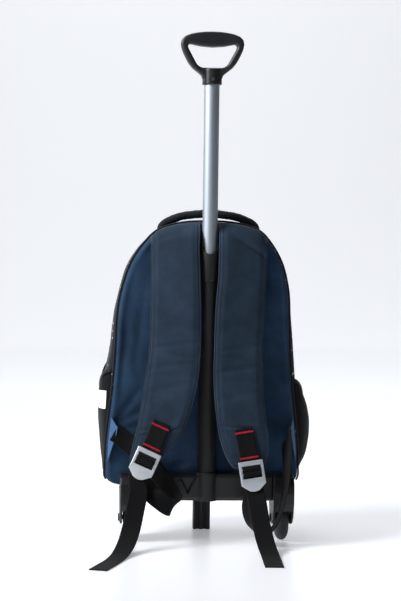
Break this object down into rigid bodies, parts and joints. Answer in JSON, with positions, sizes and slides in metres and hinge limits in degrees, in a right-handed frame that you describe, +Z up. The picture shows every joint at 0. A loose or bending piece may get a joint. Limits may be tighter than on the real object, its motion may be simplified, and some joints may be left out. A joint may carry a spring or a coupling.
{
  "type": "wheeled backpack",
  "caption": "School backpack on a two-wheeled trolley base, with padded back panel, shoulder straps, side pockets and a telescopic handle pulled out.",
  "frame": {"origin": "centre of the sole of the support foot, on the floor", "axes": "+Z up along the extended handle, -Y towards the back panel and shoulder straps, +Y towards the front of the bag, +X to the wearer's right"},
  "size_m": [0.3731, 0.4209, 0.8372],
  "materials": {
    "gusset_cloth": "charcoal plain-weave polyester with fine pale flecks",
    "panel_cloth": "blue woven polyester over foam",
    "strap_cloth": "slate navy woven polyester over foam",
    "tab_cloth": "light blue woven polyester",
    "mesh_cloth": "black spacer mesh",
    "webbing": "black ribbed polypropylene webbing",
    "reflective_tape": "white glass-bead reflective tape",
    "black_plastic": "black moulded ABS",
    "tyre_pu": "dark polyurethane",
    "aluminium": "satin anodised round tube",
    "zinc": "satin cast zinc"
  },
  "bodies": {
    "bag": {"bag_shell": "gusset_cloth", "back_panel": "panel_cloth", "back_piping": "webbing", "side_pocket_left": "mesh_cloth", "side_pocket_right": "mesh_cloth", "reflective_band_left": "reflective_tape", "main_zip": "webbing", "zip_slider_left": "zinc", "zip_slider_right": "zinc", "grab_handle": "mesh_cloth", "handle_sleeve": "black_plastic", "sleeve_collar": "black_plastic", "shoulder_strap_left": "strap_cloth", "shoulder_strap_right": "strap_cloth", "buckle_left": "zinc", "buckle_right": "zinc", "strap_patch_left": "webbing", "strap_patch_right": "webbing", "adjuster_webbing_left": "webbing", "adjuster_webbing_right": "webbing", "side_tab_left": "tab_cloth", "side_tab_right": "tab_cloth", "chassis_beam": "black_plastic", "chassis_tray": "black_plastic", "support_foot": "black_plastic", "wheel_fork_left": "black_plastic", "wheel_fork_right": "black_plastic", "wheel_axle_left": "zinc", "wheel_axle_right": "zinc"},
    "handle": {"handle_tube": "aluminium", "handle_grip": "black_plastic", "grip_screw": "zinc"},
    "wheel_left": {"wheel_tyre_left": "tyre_pu", "wheel_hub_left": "black_plastic"},
    "wheel_right": {"wheel_tyre_right": "tyre_pu", "wheel_hub_right": "black_plastic"}
  },
  "joints": [
    {"name": "handle_slide", "type": "slide", "parent": "bag", "child": "handle", "axis": [0, 0, 1], "range_m": [-0.219, 0]},
    {"name": "wheel_left_spin", "type": "hinge", "parent": "bag", "child": "wheel_left", "pos_m": [-0.126, -0.105, 0.037], "axis": [1, 0, 0], "continuous": true},
    {"name": "wheel_right_spin", "type": "hinge", "parent": "bag", "child": "wheel_right", "pos_m": [0.126, -0.105, 0.037], "axis": [1, 0, 0], "continuous": true}
  ]
}
